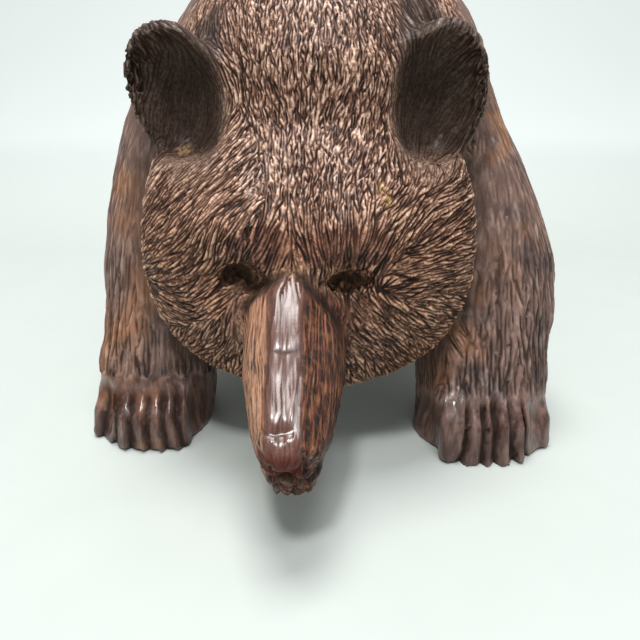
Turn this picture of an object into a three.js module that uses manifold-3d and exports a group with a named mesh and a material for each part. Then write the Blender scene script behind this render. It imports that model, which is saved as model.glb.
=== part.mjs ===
// A bear carved from one block of wood, on all fours with its head lowered.
// Millimetres, +Z up. It faces -Y, and the origin is on the ground under the middle of its bounding box.
import * as THREE from "three";
import { mergeVertices } from "three/addons/utils/BufferGeometryUtils.js";
import Module from "manifold-3d";

const wasm = await Module();
wasm.setup();

// Driving dimensions.
const rumpEnd = 166; // how far behind the middle of the bear the rump stands
const shoulderHeight = 174; // top of the hump
const headCentre = new THREE.Vector3(-6.6, -102.5, 72); // middle of the cheek ruff's rim
const headHalfWidth = 55.5;
const headRise = 62; // rim centre to crown
const headDrop = 50; // rim centre to the ruff under the jaw
const eyeMiddleX = -10.6; // the head looks a little to the bear's right
const eyeSpacing = 31.5;
const muzzleLength = 54; // bridge to nose, along the top plane
const muzzlePitch = THREE.MathUtils.degToRad(34.7); // below the horizon
const earSpread = 40; // head centre line to ear centre
const toeCount = 5; // on the front of each paw, with one more at its outer side
const timberColour = 0x5a3626;

const vec = (x, y, z) => new THREE.Vector3(x, y, z);
const bell = (x, width) => Math.exp(-(x * x) / (width * width));

// A manifold solid from any closed three.js geometry, turned to face outwards.
function solid(geometry) {
  const bare = geometry.clone();
  bare.deleteAttribute("normal");
  bare.deleteAttribute("uv");
  const merged = mergeVertices(bare, 1e-4);
  const build = (triVerts) =>
    new wasm.Manifold(
      new wasm.Mesh({ numProp: 3, vertProperties: merged.attributes.position.array, triVerts }),
    );
  const triangles = new Uint32Array(merged.index.array);
  const made = build(triangles);
  if (made.volume() > 0) return made;
  return build(triangles.reverse());
}

// A closed skin over rings of points that all have the same count, with a fan from a pole point at each end.
function skin(rings, firstPole, lastPole) {
  const sides = rings[0].length;
  const points = [firstPole, ...rings.flat(), lastPole];
  const last = points.length - 1;
  const faces = [];
  const at = (ring, i) => 1 + ring * sides + (i % sides);
  for (let i = 0; i < sides; i++) {
    faces.push(0, at(0, i + 1), at(0, i));
    faces.push(last, at(rings.length - 1, i), at(rings.length - 1, i + 1));
    for (let ring = 0; ring < rings.length - 1; ring++) {
      faces.push(at(ring, i), at(ring, i + 1), at(ring + 1, i));
      faces.push(at(ring, i + 1), at(ring + 1, i + 1), at(ring + 1, i));
    }
  }
  return new THREE.BufferGeometry().setFromPoints(points).setIndex(faces);
}

// A rounded form that runs through stations. Each has a centre `at`, a half width across (along X) and
// its reach on the lift side (up on the trunk, forward on a leg) and on the drop side.
function loft(stations, { steps, sides, round = [0, 0], fullness = 2.2 }) {
  const path = new THREE.CatmullRomCurve3(stations.map((s) => vec(...s.at)));
  const girth = new THREE.CatmullRomCurve3(stations.map((s) => vec(s.wide, s.lift, s.drop)));
  const total = path.getLength();
  const centres = [];
  for (let i = 0; i <= steps; i++) {
    const u = i / steps;
    const t = u - (0.35 * Math.sin(2 * Math.PI * u)) / (2 * Math.PI);
    centres.push({ t, at: path.getPoint(t) });
  }
  let travelled = 0;
  const rings = [];
  for (let i = 1; i < steps; i++) {
    travelled += centres[i].at.distanceTo(centres[i - 1].at);
    const fromEnd = [travelled, total - travelled];
    const close = round.map((r, end) => {
      const inside = r > 0 ? Math.min(1, Math.max(0.02, fromEnd[end] / r)) : 1;
      return Math.sqrt(1 - (1 - inside) ** 2);
    });
    const shrink = close[0] * close[1];
    const tangent = path.getTangent(centres[i].t);
    const across = vec(1, 0, 0).projectOnPlane(tangent).normalize();
    const lift = tangent.clone().cross(across);
    const size = girth.getPoint(centres[i].t);
    const ring = [];
    for (let k = 0; k < sides; k++) {
      const angle = (2 * Math.PI * k) / sides;
      const c = Math.cos(angle);
      const s = Math.sin(angle);
      const x = Math.sign(c) * Math.abs(c) ** (2 / fullness) * size.x;
      const y = Math.sign(s) * Math.abs(s) ** (2 / fullness) * (s > 0 ? size.y : size.z);
      ring.push(
        centres[i].at
          .clone()
          .addScaledVector(across, x * shrink)
          .addScaledVector(lift, y * shrink),
      );
    }
    rings.push(ring);
  }
  return skin(rings, centres[0].at, centres[steps].at);
}

const station = (x, y, z, wide, lift, drop) => ({ at: [x, y, z], wide, lift, drop });

// The trunk runs from the rump over hips, belly and hump to the nape inside the head.
function trunk() {
  const hump = shoulderHeight - 112;
  const stations = [
    station(0, rumpEnd, 104, 34, 28, 32),
    station(0, rumpEnd - 14, 106, 50, 39, 43),
    station(0, rumpEnd - 42, 106, 64, 46, 47),
    station(0, 90, 106, 68, 48, 46),
    station(0, 48, 105, 65, 46, 45),
    station(0, 4, 107, 66, 55, 48),
    station(-1, -34, 112, 67, hump, 54),
    station(-3, -62, 106, 58, 54, 50),
    station(-6, -80, 92, 45, 38, 40),
    station(-7, -95, 78, 32, 22, 28),
  ];
  return loft(stations, { steps: 28, sides: 32, round: [34, 16] });
}

// A foreleg, shoulder blade to ankle. Each side gets its own knee and foot places, from the stance.
function foreleg(side, stance) {
  const stations = [
    station(side * 30, -24, 146, 16, 26, 30),
    station(side * 40, -32, 124, stance.blade - 40, 36, 40),
    station(side * 46, -42, 98, stance.shoulder - 46, 38, 38),
    station(side * 54, -54 + stance.step * 0.4, 73, stance.forearm - 54, 33, 34),
    station(side * 60, -66 + stance.step * 0.7, 48, stance.elbow - 60, 28, 28),
    station(side * stance.footX, -76 + stance.step, 31, stance.wrist - stance.footX, 24, 25),
    station(side * stance.footX, -80 + stance.step, 12, stance.wrist - stance.footX - 1, 25, 25),
    station(side * stance.footX, -80 + stance.step, -12, stance.wrist - stance.footX - 3, 24, 24),
  ];
  return loft(stations, { steps: 15, sides: 20, round: [26, 0] });
}

// A hind leg, hip to ankle.
function hindLeg(side, step) {
  const stations = [
    station(side * 34, 100, 142, 20, 30, 34),
    station(side * 44, 104, 118, 31, 44, 42),
    station(side * 50, 104, 92, 34, 46, 42),
    station(side * 55, 103 + step * 0.4, 68, 31, 40, 36),
    station(side * 58, 112 + step * 0.8, 44, 25, 28, 28),
    station(side * 59, 118 + step, 26, 22, 25, 23),
    station(side * 59, 114 + step, 10, 23, 28, 22),
    station(side * 59, 112 + step, -12, 22, 26, 20),
  ];
  return loft(stations, { steps: 15, sides: 20, round: [26, 0] });
}

// A paw: the foot's rounded back, toes that fan from the knuckles down to the ground, and a small outer
// toe set back beside them.
function paw(side, { x, tipY, width, toeSpan, height, length }) {
  const footY = tipY + length * 0.54;
  const pad = new THREE.SphereGeometry(1, 16, 10);
  pad.scale(width / 2, length * 0.5, height);
  pad.translate(x, footY, 0);
  const pitch = toeSpan / toeCount;
  const half = pitch * 0.62;
  const toe = (toeX, knuckleX, back, top) => {
    const stations = [
      station(knuckleX, footY + back * 0.5, top * 0.55, half * 0.8, top * 0.26, top * 0.34),
      station(knuckleX, tipY + length * 0.26 + back, top * 0.7, half, top * 0.3, top * 0.34),
      station(toeX, tipY + length * 0.11 + back, top * 0.44, half, top * 0.24, top * 0.3),
      station(toeX, tipY + length * 0.08 + back, top * 0.1, half * 0.9, top * 0.22, top * 0.24),
      station(toeX, tipY + length * 0.08 + back, -top * 0.2, half * 0.7, top * 0.16, top * 0.2),
    ];
    return loft(stations, { steps: 6, sides: 8, round: [top * 0.3, 0], fullness: 2 });
  };
  const pieces = [pad];
  for (let i = 0; i < toeCount; i++) {
    const fromMiddle = i - (toeCount - 1) / 2;
    const middleX = x - side * (width - toeSpan) * 0.2;
    const toeX = middleX + fromMiddle * pitch;
    pieces.push(toe(toeX, middleX + fromMiddle * pitch * 1.04, fromMiddle ** 2 * 0.5, height));
  }
  const outerX = x + side * (width / 2 - half * 1.3);
  pieces.push(toe(outerX, outerX - side * 2, length * 0.2, height * 0.84));
  return pieces;
}

// The head without its muzzle: a domed face whose fur ends in a crisp rim round the cheeks, with the
// narrower skull behind. Rings go from the middle of the face over the rim to the nape.
function head() {
  const profile = [
    [0.12, 24], [0.24, 23], [0.36, 21.4], [0.48, 19.2], [0.6, 16.2], [0.72, 12.6], [0.83, 8.6],
    [0.92, 4.6], [0.985, 0.6], [1, -3.5], [0.95, -8], [0.86, -12], [0.8, -22], [0.68, -36], [0.42, -48],
  ];
  const around = 46;
  const crownLean = 20;
  const place = (scale, depth, angle) => {
    const s = Math.sin(angle);
    const c = Math.cos(angle);
    const reach = s > 0 ? headRise : headDrop;
    const x = Math.sign(c) * Math.abs(c) ** 0.9 * headHalfWidth * scale;
    const z = Math.sign(s) * Math.abs(s) ** 0.9 * reach * scale;
    const lean = z > 0 ? crownLean * (z / headRise) ** 1.6 : 0;
    const front = depth > -3 ? 1 : 0;
    const point = vec(headCentre.x + x, headCentre.y - depth + lean, headCentre.z + z);
    point.y -= front * faceRelief(point.x, point.z);
    return point;
  };
  const rings = profile.map(([scale, depth]) =>
    Array.from({ length: around }, (_, i) => place(scale, depth, (2 * Math.PI * i) / around)),
  );
  return skin(rings, place(0, 24.4, 0), place(0, -52, 0));
}

// Height of the brows and cheeks over the plain dome, and depth of the eye sockets, at a place on the face.
function faceRelief(x, z) {
  let relief = -3 * bell(x - eyeMiddleX, 9) * bell(z - 96, 14);
  for (const side of [-1, 1]) {
    const eyeX = eyeMiddleX + (side * eyeSpacing) / 2;
    relief += 5 * bell(x - eyeX - side * 2, 13) * bell(z - 83, 9);
    relief -= 5.5 * bell(x - eyeX, 9) * bell(z - 67, 7);
    relief += 3 * bell(x - headCentre.x - side * 34, 15) * bell(z - 54, 16);
  }
  return relief;
}

// An ear: a thick shell standing on the corner of the crown, hollowed from the front. `splay` is how far
// its top leans out, in degrees.
function ear(side, splay) {
  const place = (geometry) => {
    geometry.rotateX(THREE.MathUtils.degToRad(6));
    geometry.rotateY(THREE.MathUtils.degToRad(side * splay));
    geometry.rotateZ(THREE.MathUtils.degToRad(side * 14));
    geometry.translate(headCentre.x + side * earSpread, headCentre.y + 10, headCentre.z + 47);
    return solid(geometry);
  };
  const shell = new THREE.SphereGeometry(1, 18, 12);
  shell.scale(17, 12, 24);
  const hollow = new THREE.SphereGeometry(1, 16, 10);
  hollow.scale(14.5, 12, 20);
  hollow.translate(-side * 2, -8.5, 0.5);
  return { shell: place(shell), hollow: place(hollow) };
}

// A length of knife-cut muzzle, by sections square to its own axis. Each section's corners are given as
// [x, depth under the top plane], and `travel` is the section's distance from the bridge.
function facetedMuzzle(sections) {
  const along = vec(0, -Math.cos(muzzlePitch), -Math.sin(muzzlePitch));
  const over = vec(0, -Math.sin(muzzlePitch), Math.cos(muzzlePitch));
  const bridge = vec(eyeMiddleX, headCentre.y - 20.5, headCentre.z);
  const rings = sections.map(({ travel, rise = 0, corners }) =>
    corners.map(([x, depth]) =>
      bridge
        .clone()
        .add(vec(x, 0, 0))
        .addScaledVector(along, travel)
        .addScaledVector(over, rise - depth),
    ),
  );
  const middle = (ring) =>
    ring.reduce((sum, p) => sum.add(p), vec(0, 0, 0)).divideScalar(ring.length);
  return skin(rings, middle(rings[0]), middle(rings[rings.length - 1]));
}

// The upper muzzle: a flat top plane a little to one side, sloping cheek planes and upright sides.
function upperMuzzle() {
  const corners = (top, lean, cheek, cheekDepth, side, sideDepth) => [
    [lean - top, 0],
    [lean + top, 0],
    [cheek, cheekDepth],
    [side, sideDepth],
    [side * 0.5, sideDepth + 1.5],
    [-side * 0.5, sideDepth + 1.5],
    [-side, sideDepth],
    [-cheek, cheekDepth * 0.85],
  ];
  const nose = muzzleLength;
  return facetedMuzzle([
    { travel: -16, rise: -2, corners: corners(3.5, -0.8, 15, 13, 20, 32) },
    { travel: 0, rise: 0.5, corners: corners(3.6, -1, 13, 11, 17, 27) },
    { travel: 6, rise: 1.6, corners: corners(4.4, -1.6, 13, 9.5, 17, 24) },
    { travel: nose * 0.5, rise: 1.4, corners: corners(4.9, -2, 12.4, 7.5, 15.6, 18) },
    { travel: nose * 0.84, rise: 0.6, corners: corners(5.3, -2.2, 10, 5.6, 11.8, 14) },
    { travel: nose - 1.5, rise: -0.2, corners: corners(5.2, -2, 8.4, 4.6, 9.2, 12.5) },
    { travel: nose + 0.5, rise: -1.4, corners: corners(4.6, -1.8, 7.2, 4, 7.6, 11.5) },
  ]);
}

// The lower jaw, closed against the upper lip, with the chin at its end.
function lowerJaw() {
  const corners = (half, top, bottom) => [
    [-half * 0.6, top],
    [half * 0.6, top],
    [half, top + (bottom - top) * 0.35],
    [half * 0.84, bottom - 2.5],
    [half * 0.4, bottom],
    [-half * 0.4, bottom],
    [-half * 0.84, bottom - 2.5],
    [-half, top + (bottom - top) * 0.35],
  ];
  const nose = muzzleLength;
  return facetedMuzzle([
    { travel: -20, corners: corners(19, 20, 44) },
    { travel: 4, corners: corners(16.4, 16, 38) },
    { travel: nose * 0.5, corners: corners(13.2, 12, 30) },
    { travel: nose - 10, corners: corners(10.6, 9, 28) },
    { travel: nose, corners: corners(8.4, 9, 27.5) },
    { travel: nose + 4, corners: corners(5.6, 13, 26) },
  ]);
}

// The blunt pad of the nose, proud of the lip under the end of the top plane.
function nosePad() {
  const pad = new THREE.SphereGeometry(1, 12, 8);
  pad.scale(5.6, 3.6, 4.2);
  pad.rotateX(muzzlePitch * 0.5);
  pad.translate(eyeMiddleX - 1.8, headCentre.y - 62.6, headCentre.z - 35);
  return pad;
}

// A short tail held against the rump.
function tail() {
  const stations = [
    station(0, rumpEnd - 22, 130, 9, 8, 8),
    station(0, rumpEnd - 4, 123, 10.5, 8, 7),
    station(0, rumpEnd + 1, 106, 9.5, 7, 6),
    station(0, rumpEnd - 2, 91, 6, 5, 5),
  ];
  return loft(stations, { steps: 8, sides: 10, round: [8, 9] });
}

// An almond eye in its socket: a slot under the brow with a low ball in it.
function eye(side) {
  const at = [eyeMiddleX + (side * eyeSpacing) / 2, headCentre.y - 17.5, headCentre.z - 4.5];
  const slot = new THREE.SphereGeometry(1, 14, 8);
  slot.scale(6.6, 6, 3.6);
  slot.rotateY(THREE.MathUtils.degToRad(side * -8));
  slot.translate(at[0], at[1], at[2]);
  const ball = new THREE.SphereGeometry(3.6, 12, 8);
  ball.translate(at[0], at[1] + 4.6, at[2] - 1);
  return { slot: solid(slot), ball: solid(ball) };
}

function carveBear() {
  const atLeft = { blade: 61, shoulder: 69, forearm: 81, elbow: 88, wrist: 83, footX: 58, step: -4 };
  const atRight = { blade: 70, shoulder: 81, forearm: 87, elbow: 89, wrist: 87, footX: 65, step: 4 };
  const forms = [
    trunk(),
    head(),
    upperMuzzle(),
    lowerJaw(),
    nosePad(),
    tail(),
    foreleg(1, atLeft),
    foreleg(-1, atRight),
    hindLeg(1, 10),
    hindLeg(-1, -12),
    ...paw(1, { x: 57.5, tipY: -117.5, width: 51, toeSpan: 32, height: 26, length: 56 }),
    ...paw(-1, { x: -67.5, tipY: -109.5, width: 45, toeSpan: 28, height: 25, length: 54 }),
    ...paw(1, { x: 59, tipY: 78, width: 46, toeSpan: 31, height: 22, length: 64 }),
    ...paw(-1, { x: -59, tipY: 56, width: 46, toeSpan: 31, height: 22, length: 64 }),
  ];
  let bear = forms.map(solid).reduce((all, form) => all.add(form));
  for (const [side, splay] of [[-1, 22], [1, 9]]) {
    const { shell, hollow } = ear(side, splay);
    const { slot, ball } = eye(side);
    bear = bear.add(shell).subtract(hollow).subtract(slot).add(ball);
  }
  // The soles are cut flat, so that the bear stands on all four paws.
  const ground = new THREE.BoxGeometry(4 * rumpEnd, 4 * rumpEnd, 100);
  ground.translate(0, 0, -50);
  return bear.subtract(solid(ground));
}

// The carving as a geometry, moved so that the origin is under the middle of its bounding box.
function geometryOf(carving) {
  const mesh = carving.getMesh();
  const geometry = new THREE.BufferGeometry();
  geometry.setAttribute("position", new THREE.BufferAttribute(new Float32Array(mesh.vertProperties), 3));
  geometry.setIndex(new THREE.BufferAttribute(new Uint32Array(mesh.triVerts), 1));
  geometry.computeBoundingBox();
  const middle = geometry.boundingBox.getCenter(vec(0, 0, 0));
  geometry.translate(-middle.x, -middle.y, 0);
  geometry.computeVertexNormals();
  return geometry;
}

const timber = new THREE.MeshStandardMaterial({ color: timberColour, roughness: 0.55, metalness: 0 });
const bear = new THREE.Mesh(geometryOf(carveBear()), timber);
bear.name = "carved_bear";

const group = new THREE.Group();
group.add(bear);
export default group;
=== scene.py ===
import math
import bpy
import numpy as np
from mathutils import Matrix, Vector, kdtree


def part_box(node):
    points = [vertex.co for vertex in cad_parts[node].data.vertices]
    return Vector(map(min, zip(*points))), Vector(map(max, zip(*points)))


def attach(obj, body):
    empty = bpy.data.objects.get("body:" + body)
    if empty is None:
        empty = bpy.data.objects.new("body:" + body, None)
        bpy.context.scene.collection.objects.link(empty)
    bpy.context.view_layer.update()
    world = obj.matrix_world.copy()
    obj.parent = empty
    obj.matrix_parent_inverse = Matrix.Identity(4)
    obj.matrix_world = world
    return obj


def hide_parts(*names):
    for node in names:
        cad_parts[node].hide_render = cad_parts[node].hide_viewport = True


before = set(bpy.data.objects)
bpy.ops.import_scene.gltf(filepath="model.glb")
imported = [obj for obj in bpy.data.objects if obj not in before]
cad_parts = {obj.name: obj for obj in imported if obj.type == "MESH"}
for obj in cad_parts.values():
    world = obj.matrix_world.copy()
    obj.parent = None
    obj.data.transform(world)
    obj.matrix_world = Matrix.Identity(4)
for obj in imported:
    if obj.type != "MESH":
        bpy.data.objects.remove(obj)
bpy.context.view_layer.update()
low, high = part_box("carved_bear")
mm = 0.001
print("frame loaded, bear is", [round(v * 1000) for v in high - low], "mm")

# Landmarks of the carving, measured from the front, the middle and the floor of its box. Left and right
# are the bear's own on the paws, and the viewer's on the face
midX = (low.x + high.x) / 2
faceMiddle = Vector((midX - 5.3 * mm, low.y + 66.2 * mm, 72 * mm))
bridge = Vector((midX - 9.3 * mm, low.y + 45.7 * mm, 72 * mm))
muzzlePitch = math.radians(34.7)
muzzleAlong = Vector((0, -math.cos(muzzlePitch), -math.sin(muzzlePitch)))
muzzleUp = Vector((0, -math.sin(muzzlePitch), math.cos(muzzlePitch)))
frontPaws = {
    "left": {"x": midX + 58.8 * mm, "tip": low.y + 51.2 * mm, "hem": 20.5 * mm, "soft": 3.0 * mm},
    "right": {"x": midX - 66.2 * mm, "tip": low.y + 59.2 * mm, "hem": 25.0 * mm, "soft": 0.4 * mm},
}
hindPaws = {
    "left": {"x": midX + 60.3 * mm, "tip": low.y + 246.7 * mm},
    "right": {"x": midX - 57.7 * mm, "tip": low.y + 224.7 * mm},
}
earSpots = [Vector((faceMiddle.x + side * 40 * mm, low.y + 76.2 * mm, 119 * mm)) for side in (-1, 1)]


def deselectAll():
    if bpy.context.object and bpy.context.object.mode != "OBJECT":
        bpy.ops.object.mode_set(mode="OBJECT")
    bpy.ops.object.select_all(action="DESELECT")


def makeActive(piece):
    deselectAll()
    piece.select_set(True)
    bpy.context.view_layer.objects.active = piece


def applyModifier(piece, kind, **settings):
    if bpy.context.object != piece:
        makeActive(piece)
    bpy.ops.object.modifier_add(type=kind)
    modifier = piece.modifiers[-1]
    for name, value in settings.items():
        setattr(modifier, name, value)
    bpy.ops.object.modifier_apply(modifier=modifier.name)


def readPoints(mesh):
    points = np.empty(len(mesh.vertices) * 3, np.float32)
    mesh.vertices.foreach_get("co", points)
    return points.reshape(-1, 3).astype(np.float64)


def writePoints(mesh, points):
    mesh.vertices.foreach_set("co", points.astype(np.float32).ravel())
    mesh.update()


def readNormals(mesh):
    normals = np.empty(len(mesh.vertices) * 3, np.float32)
    mesh.vertex_normals.foreach_get("vector", normals)
    return normals.reshape(-1, 3).astype(np.float64)


def smoothStep(x, start, end):
    t = np.clip((x - start) / (end - start), 0, 1)
    return t * t * (3 - 2 * t)


def bell(x, width):
    return np.exp(-((x / width) ** 2))


def unit(vectors):
    return vectors / np.maximum(np.linalg.norm(vectors, axis=-1, keepdims=True), 1e-12)


# A smooth random height at each point, from -1 to 1, with lumps of the given size
scramble = {"place": (73856093, 19349663, 83492791), "seed": (7919, 17), "mix": (2654435761, 2246822519)}


def lumps(points, size, seed):
    keyX, keyY, keyZ = (np.uint64(key) for key in scramble["place"])
    start = np.uint64(seed * scramble["seed"][0] + scramble["seed"][1])
    mixFirst, mixLast = (np.uint64(key) for key in scramble["mix"])
    cell = points / size
    corner = np.floor(cell).astype(np.int64)
    t = cell - corner
    t = t * t * (3 - 2 * t)
    total = 0
    for i in (0, 1):
        for j in (0, 1):
            for k in (0, 1):
                q = (corner + (i, j, k)).astype(np.uint64)
                h = q[:, 0] * keyX ^ q[:, 1] * keyY ^ q[:, 2] * keyZ
                h = (h ^ start) * mixFirst
                h = (h ^ (h >> np.uint64(15))) * mixLast
                value = ((h >> np.uint64(11)) & np.uint64(0xFFFF)).astype(np.float64) / 32767.5 - 1
                weight = np.where(i, t[:, 0], 1 - t[:, 0]) * np.where(j, t[:, 1], 1 - t[:, 1])
                total = total + value * weight * np.where(k, t[:, 2], 1 - t[:, 2])
    return total


# Where a point lies along, over and across the muzzle, in metres
def muzzlePlace(points):
    off = points - np.array(bridge)
    return off @ np.array(muzzleAlong), off @ np.array(muzzleUp), off[:, 0]


# Borders between the parts of the bear, in millimetres. Pairs are where a part starts and where it is full
borders = {
    "ruff": {"behind": 4, "crown": 5, "lean": 20, "height": 62, "soft": 2},
    "faceHalf": {"across": 60, "up": 54, "roundness": 2.3},
    "muzzle": {
        "root": (1, 9), "under": (-46, -40), "half": (17, 21), "centre": 0.6, "back": (22, 13), "taper": 0.05,
    },
    "frontToes": {"half": 34, "back": 30, "slope": 0.30, "knuckle": 11},
    "hindToes": {"half": 32, "front": 5, "back": 26, "hem": (19, 20)},
    "ears": {"base": (98, 106), "inner": (24, 30), "outer": 62, "back": (-84, -78)},
}


# Where a place lies on the face's outline, for shares of its half width and height: 1 on it, less inside
def outline(across, up, power):
    return np.abs(across) ** power + np.abs(np.minimum(up, 0)) ** power


# How much each point belongs to the face, the muzzle, the toes and the ears, from 0 to 1
def regions(points):
    x, y, z = points.T
    ruff, half = borders["ruff"], borders["faceHalf"]
    rise = (z - faceMiddle.z) / (ruff["height"] * mm)
    ruffY = faceMiddle.y + ruff["behind"] * mm + ruff["crown"] * mm * np.clip(rise * 4, 0, 1)
    ruffY = ruffY + ruff["lean"] * mm * np.clip(rise, 0, 1.4) ** 1.6
    face = 1 - smoothStep(y, ruffY - ruff["soft"] * mm, ruffY + ruff["soft"] * mm)
    across, up = (x - faceMiddle.x) / (half["across"] * mm), (z - faceMiddle.z) / (half["up"] * mm)
    face *= 1 - smoothStep(outline(across, up, half["roundness"]), 1.0, 1.12)
    along, over, across = muzzlePlace(points)
    box = borders["muzzle"]
    muzzle = smoothStep(along, box["root"][0] * mm, box["root"][1] * mm)
    muzzle = muzzle * smoothStep(over, box["under"][0] * mm, box["under"][1] * mm)
    narrow, wide = (edge * mm - along * box["taper"] for edge in box["half"])
    muzzle *= 1 - smoothStep(np.abs(across + box["centre"] * mm), narrow, wide)
    muzzle *= 1 - smoothStep(y, faceMiddle.y - box["back"][0] * mm, faceMiddle.y - box["back"][1] * mm)
    toes = np.zeros(len(points))
    front, hind, ear = borders["frontToes"], borders["hindToes"], borders["ears"]
    for paw in frontPaws.values():
        hem = paw["hem"] + 0.8 * mm * np.sin(x * 900) + 0.5 * mm * np.sin(x * 2300)
        slope = z + (y - paw["tip"] - front["knuckle"] * mm) * front["slope"]
        near = (np.abs(x - paw["x"]) < front["half"] * mm) & (y < paw["tip"] + front["back"] * mm)
        toes = np.maximum(toes, near * (1 - smoothStep(slope, hem - paw["soft"], hem + paw["soft"])))
    for paw in hindPaws.values():
        near = (y > paw["tip"] - hind["front"] * mm) & (y < paw["tip"] + hind["back"] * mm)
        near = near & (np.abs(x - paw["x"]) < hind["half"] * mm)
        slope = z + (y - paw["tip"] - front["knuckle"] * mm) * front["slope"]
        toes = np.maximum(toes, near * (1 - smoothStep(slope, hind["hem"][0] * mm, hind["hem"][1] * mm)))
    aside = np.abs(x - faceMiddle.x)
    ears = smoothStep(z, ear["base"][0] * mm, ear["base"][1] * mm)
    ears = ears * smoothStep(aside, ear["inner"][0] * mm, ear["inner"][1] * mm)
    ears *= (1 - smoothStep(y, ear["back"][0] * mm, ear["back"][1] * mm)) * (aside < ear["outer"] * mm)
    return {"face": face * (1 - muzzle), "muzzle": muzzle, "toes": toes, "ears": ears}


# The smooth block-out: the faceted carving copied, closed into one even skin and softened. "skin" is the
# size of its faces; the rest are rounds of smoothing, "earMerge" for the ears' inner roots
blockOut = {"skin": 1.42 * mm, "body": 30, "head": 4, "muzzle": 1, "paws": 9, "earMerge": 60}


def paintGroup(piece, name, weights):
    group = piece.vertex_groups.new(name=name)
    levels = np.round(np.clip(weights, 0, 1) * 10).astype(int)
    for level in range(1, 11):
        chosen = np.nonzero(levels == level)[0]
        if len(chosen):
            group.add(chosen.tolist(), level / 10, "REPLACE")


def makeBlockOut():
    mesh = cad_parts["carved_bear"].data.copy()
    bear = bpy.data.objects.new("bear", mesh)
    bpy.context.scene.collection.objects.link(bear)
    makeActive(bear)
    bpy.ops.object.mode_set(mode="EDIT")
    bpy.ops.mesh.select_all(action="SELECT")
    bpy.ops.mesh.remove_doubles(threshold=1e-6)
    bpy.ops.object.mode_set(mode="OBJECT")
    applyModifier(bear, "REMESH", mode="VOXEL", voxel_size=blockOut["skin"])
    points = readPoints(bear.data)
    part = regions(points)
    head = np.clip(part["face"] + part["muzzle"] + part["ears"], 0, 1)
    feet = np.clip(part["toes"] * 1.5, 0, 1)
    muzzle = part["muzzle"]
    merge = np.zeros(len(points))
    for spot, side in zip(earSpots, (-1, 1)):
        inner = (points[:, 0] - spot.x) * -side
        root = smoothStep(inner, 2 * mm, 10 * mm) * (1 - smoothStep(inner, 26 * mm, 34 * mm))
        root = root * smoothStep(points[:, 2], 98 * mm, 106 * mm) * (points[:, 1] < -70 * mm)
        merge = np.maximum(merge, root)
    for name, weights in (
        ("body", (1 - head) * (1 - feet)),
        ("earMerge", merge),
        ("head", head * (1 - muzzle) * (1 - 0.5 * part["ears"])),
        ("muzzle", muzzle),
        ("paws", feet),
    ):
        paintGroup(bear, name, weights)
        applyModifier(bear, "SMOOTH", factor=0.5, iterations=blockOut[name], vertex_group=name)
    bear.vertex_groups.clear()
    print("block-out:", len(bear.data.polygons), "faces")
    return bear


# Finer skin where the gouge cuts are finest: the whole bear once, the head and the front toes once more
def refineSkin(bear):
    applyModifier(bear, "SUBSURF", levels=1, render_levels=1)
    points = readPoints(bear.data)
    part = regions(points)
    wanted = (part["face"] + part["ears"] + part["muzzle"] + part["toes"] * (points[:, 1] < 0)) > 0.3
    mesh = bear.data
    loops = np.empty(len(mesh.loops), np.int32)
    mesh.loops.foreach_get("vertex_index", loops)
    starts = np.empty(len(mesh.polygons), np.int32)
    mesh.polygons.foreach_get("loop_start", starts)
    chosen = wanted[loops[starts]]
    mesh.vertices.foreach_set("select", np.zeros(len(mesh.vertices), bool))
    mesh.edges.foreach_set("select", np.zeros(len(mesh.edges), bool))
    mesh.polygons.foreach_set("select", chosen)
    bpy.context.tool_settings.mesh_select_mode = (False, False, True)
    bpy.ops.object.mode_set(mode="EDIT")
    bpy.ops.mesh.subdivide(number_cuts=1, smoothness=0)
    bpy.ops.object.mode_set(mode="OBJECT")
    print("skin refined:", len(bear.data.polygons), "faces")


# Cuts that give the face, the muzzle and the paws their drawing, in millimetres. Places on the face are
# (across, up) from its middle, on the muzzle (along, across) from its root, and on the nose's front
# (across, up) from the bear's middle and the floor
eyes = {
    "left": {"at": (-20.8, -4.3), "half": (5.9, 4.1), "tilt": -0.12, "depth": 2.8, "lens": 1.7},
    "right": {"at": (11.4, -5.2), "half": (4.5, 2.9), "tilt": 0.05, "depth": 2.7, "lens": 0.8},
}
faceCuts = [
    {"path": [(-5, 0.6), (-11, -2.2), (-15.5, -6.0), (-18.8, -10.5), (-20, -15)], "width": 3.0, "depth": 1.3},
    {"path": [(-5, 0.6), (-1, -1.4), (1.6, -4.8), (5.0, -8.2), (7.6, -11.6), (10.5, -17)],
     "width": 2.8, "depth": 1.1},
    {"path": [(-25, -2.2), (-22, -0.2), (-18.5, 0.0), (-15.2, -2.0), (-13.2, -4.4)],
     "width": 3.0, "depth": 2.0},
    {"path": [(7.6, -4.8), (11.0, -3.2), (14.0, -3.4), (16.4, -5.2)], "width": 2.4, "depth": 1.7},
    {"path": [(4.0, -4.2), (5.0, -4.6)], "width": 3.0, "depth": 2.0},
]
brows = [
    {"at": (-13.5, 6.5), "half": (9.5, 6.0), "depth": 0.9},
    {"at": (11.5, 6.5), "half": (14.0, 6.0), "depth": 0.9},
]
bareChips = [
    {"at": (21.4, 22.3), "half": (1.5, 1.7), "share": 1.0},
    {"at": (23.3, 19.2), "half": (1.3, 1.9), "share": 0.9},
    {"at": (-40.0, 31.5), "half": (2.4, 1.6), "share": 0.32},
    {"at": (-36.5, 24.0), "half": (1.2, 0.9), "share": 0.4},
    {"at": (-14.0, 33.0), "half": (1.0, 1.4), "share": 0.45},
]
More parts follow.
